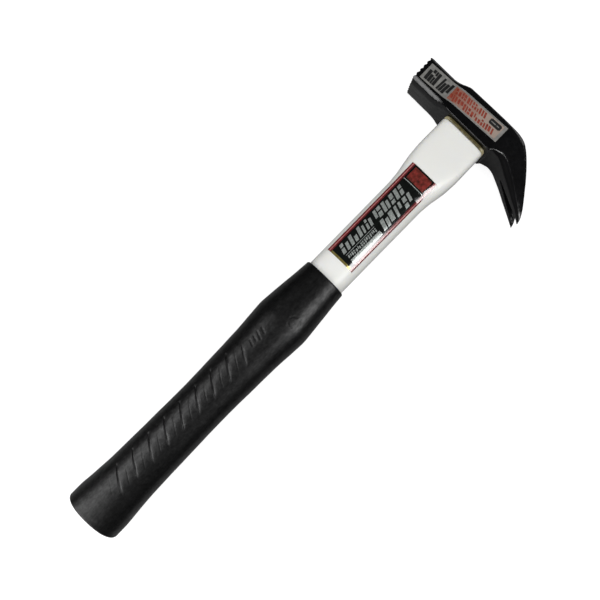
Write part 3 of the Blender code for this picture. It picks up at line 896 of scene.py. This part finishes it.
def make_handle_label():
    """Glossy film round the handle: black field, silver bars, red panel and borders."""
    label = HANDLE_LABEL
    start, end, top, bottom = label["start"], label["end"], label["top"], label["bottom"]
    slot = "handle_foil"
    gloss = {"crease": 0.003, "ior": 1.9}
    black = foil_look("film_black", (0.002, 0.003, 0.0025), (0.005, 0.007, 0.006), 0.10, 0.0,
                      **gloss)
    base = plates("handle_film", [box(start, end, bottom, top)], on_handle, 0.0, LABEL_THICK, 0.5)
    finish_piece(base, "root", slot, black, "handle_label", sharp=30)

    maroon = foil_look("film_maroon", (0.09, 0.006, 0.010), (0.20, 0.022, 0.028), 0.12, 0.0,
                       **gloss)
    borders = [box(start, end, top - 0.7, top), box(start, end, top - 2.2, top - 1.45)]
    borders += [box(start, end, bottom, bottom + 0.6), box(start, end, bottom + 1.3, bottom + 2.0)]
    print_piece("film_borders", borders, on_handle, 0, slot, maroon)
    pink = foil_look("film_pink", (0.42, 0.10, 0.10), (0.62, 0.28, 0.26), 0.14, 0.0,
                     grain=0.8, **gloss)
    lines = [box(start, end, top - 1.4, top - 0.75), box(start, end, bottom + 0.65, bottom + 1.25)]
    print_piece("film_lines_pink", lines, on_handle, 0, slot, pink)
    red = foil_look("film_red", (0.045, 0.012, 0.008), (0.27, 0.035, 0.028), 0.12, 0.0,
                    grain=2.2, **gloss)
    panels = [box(start + 60.6, end - 1.0, bottom + 2.8, top - 3.3)]
    print_piece("film_panel_red", panels, on_handle, 0, slot, red)
    gold = foil_look("film_gold", (0.42, 0.34, 0.08), (0.64, 0.55, 0.22), 0.20, 0.7, ior=1.9)
    strip = [box(start, start + 1.4, bottom + 2.0, top - 2.2)]
    print_piece("film_gold", strip, on_handle, 0, slot, gold)

    silver = foil_look("film_silver", (0.36, 0.40, 0.38), (0.74, 0.78, 0.75), 0.21, 0.55,
                       grain=0.9, **gloss)
    marks = [box(start + 59.3, start + 59.8, bottom + 2.2, top - 2.5)]
    marks += bars((start + 4.0, start + 28.5), (1.3, 6.9), 1.9, 1.0, 1.9, 14)
    marks += bars((start + 31.0, start + 56.0), (1.3, 6.9), 2.1, 1.0, 1.9, 18)
    marks += bars((start + 30.0, start + 56.5), (-5.9, 0.2), 2.4, 1.2, 1.9, 16)
    marks += bars((start + 4.5, start + 27.5), (-2.9, -0.7), 0.9, 0.5, 0.5, 17)
    marks += [box(start + 4.5, start + 28.0, -6.4, -3.5), box(start + 4.5, start + 27.5, 0.0, 0.3)]
    print_piece("film_marks_silver", marks, on_handle, 1, slot, silver)


# ---------------------------------------------------------------- light and camera

LIGHT_AIM = (-0.12, 0.0, 0.0)


def softbox(name, at, size, radiance, facing=LIGHT_AIM, glossy=True):
    """A soft rectangular light that faces a point; without glossy it leaves no reflection."""
    data = bpy.data.lights.new(name, "AREA")
    data.shape = "RECTANGLE"
    data.size, data.size_y = size
    data.energy = radiance * math.pi * size[0] * size[1]
    light = bpy.data.objects.new(name, data)
    bpy.context.collection.objects.link(light)
    place = Vector(at)
    turn = (Vector(facing) - place).to_track_quat("-Z", "Y").to_matrix().to_4x4()
    light.matrix_world = Matrix.Translation(place) @ turn
    light.visible_camera = False
    light.visible_glossy = glossy


def show_camera(tree, camera, others, output):
    """Show one shader to the camera and another to all other rays."""
    choose = tree.nodes.new("ShaderNodeMixShader")
    rays = tree.nodes.new("ShaderNodeLightPath")
    tree.links.new(rays.outputs["Is Camera Ray"], choose.inputs["Fac"])
    tree.links.new(others, choose.inputs[1])
    tree.links.new(camera, choose.inputs[2])
    tree.links.new(choose.outputs["Shader"], output)


def make_studio():
    """Soft lights, and a pale floor and surroundings that light the hammer less than they show."""
    reach, floor_z = 3.0, -0.0002
    corners = [(-reach, -reach), (reach, -reach), (reach, reach), (-reach, reach)]
    mesh = bpy.data.meshes.new("floor")
    mesh.from_pydata([(x, y, floor_z) for x, y in corners], [], [(0, 1, 2, 3)])
    floor = bpy.data.objects.new("floor", mesh)
    bpy.context.collection.objects.link(floor)
    n = Nodes("floor_paper")
    n.set(Roughness=0.9)
    n.shader.inputs["Base Color"].default_value = (0.36, 0.36, 0.36, 1.0)
    n.shader.inputs["Specular IOR Level"].default_value = 0.0
    glow = n.tree.nodes.new("ShaderNodeEmission")
    glow.inputs["Strength"].default_value = 0.86
    lit = n.tree.nodes.new("ShaderNodeAddShader")
    n.link(n.shader.outputs[0], lit.inputs[0])
    n.link(glow.outputs[0], lit.inputs[1])
    surface = n.tree.nodes["Material Output"].inputs["Surface"]
    show_camera(n.tree, lit.outputs[0], n.shader.outputs[0], surface)
    mesh.materials.append(n.material)

    world = bpy.data.worlds.new("studio")
    world.use_nodes = True
    bpy.context.scene.world = world
    tree = world.node_tree
    dim = tree.nodes["Background"]
    dim.inputs["Color"].default_value = (1.0, 1.0, 1.0, 1.0)
    dim.inputs["Strength"].default_value = 0.03
    bright = tree.nodes.new("ShaderNodeBackground")
    bright.inputs["Color"].default_value = (0.97, 0.97, 0.97, 1.0)
    surface = tree.nodes["World Output"].inputs["Surface"]
    show_camera(tree, bright.outputs["Background"], dim.outputs["Background"], surface)

    softbox("light_left", (-0.48, 0.32, 0.75), (0.46, 0.24), 4.9)
    softbox("light_right", (-0.03, -0.49, 0.74), (0.24, 0.40), 8.8)
    softbox("light_low", (-0.675, 0.15, 0.32), (0.50, 0.26), 5.0, (0.0, 0.03, 0.0))
    softbox("light_fill", (0.78, -0.22, 0.62), (0.40, 0.40), 2.6)
    softbox("light_top", (-0.12, 0.0, 1.0), (0.60, 0.60), 1.65, glossy=False)


def make_camera():
    """The camera looks straight down from close above the middle of the handle."""
    height, lens, sensor = 0.333, 34.0, 36.0
    data = bpy.data.cameras.new("camera")
    data.lens, data.sensor_width = lens, sensor
    data.shift_x, data.shift_y = -0.0266, 0.0632
    data.clip_start = 0.01
    camera = bpy.data.objects.new("camera", data)
    bpy.context.collection.objects.link(camera)
    roll = math.radians(-45.61)               # the handle runs up to the right
    right = Vector((math.cos(roll), math.sin(roll), 0.0))
    up = Vector((-right.y, right.x, 0.0))
    turn = Matrix((right, up, Vector((0.0, 0.0, 1.0)))).transposed().to_4x4()
    place = Vector((-0.1534, -0.0205, MIDDLE_Z + height))
    camera.matrix_world = Matrix.Translation(place) @ turn
    bpy.context.scene.camera = camera


make_head(paint_look())
make_core(fibre_look())
make_cover(cover_look())
make_grip(rubber_look())
make_resin(resin_look())
make_head_label()
make_handle_label()
make_studio()
make_camera()
bpy.context.scene.view_settings.view_transform = "Standard"
